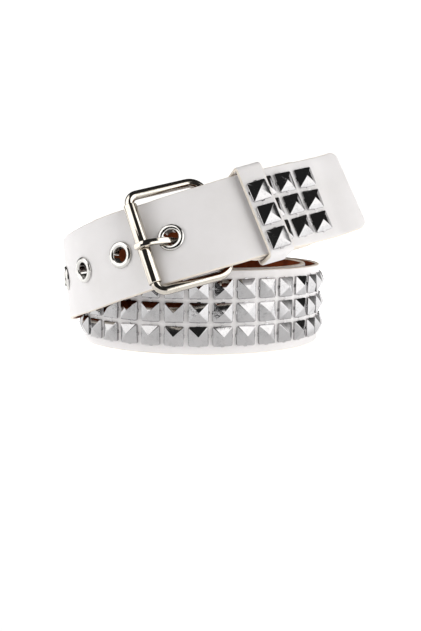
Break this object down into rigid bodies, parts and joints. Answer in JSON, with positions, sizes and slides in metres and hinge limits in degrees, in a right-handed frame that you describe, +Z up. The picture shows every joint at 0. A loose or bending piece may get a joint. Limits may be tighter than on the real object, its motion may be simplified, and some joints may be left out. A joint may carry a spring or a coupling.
{
  "type": "studded belt",
  "caption": "Coiled leather belt with rows of pyramid studs, a single-prong roller buckle, a keeper loop and metal eyelets.",
  "frame": {"origin": "on the surface that the coil stands on, under the middle of the belt's bounding box", "axes": "+Z up along the coil's upright axis; the buckle faces -Y and the strap's free tip points towards +X"},
  "size_m": [0.1434, 0.1462, 0.0906],
  "materials": {
    "white_leather": "smooth white",
    "brown_lining": "matt brown",
    "keeper_leather": "smooth white",
    "nickel": "polished",
    "eyelet_nickel": "polished"
  },
  "bodies": {
    "root": {"strap": "white_leather", "lining": "brown_lining", "keeper": "keeper_leather", "buckle_frame": "nickel", "buckle_roller": "nickel", "buckle_prong": "nickel", "eyelet_1": "eyelet_nickel", "eyelet_2": "eyelet_nickel", "eyelet_3": "eyelet_nickel", "eyelet_4": "eyelet_nickel", "eyelet_5": "eyelet_nickel"}
  },
  "joints": []
}
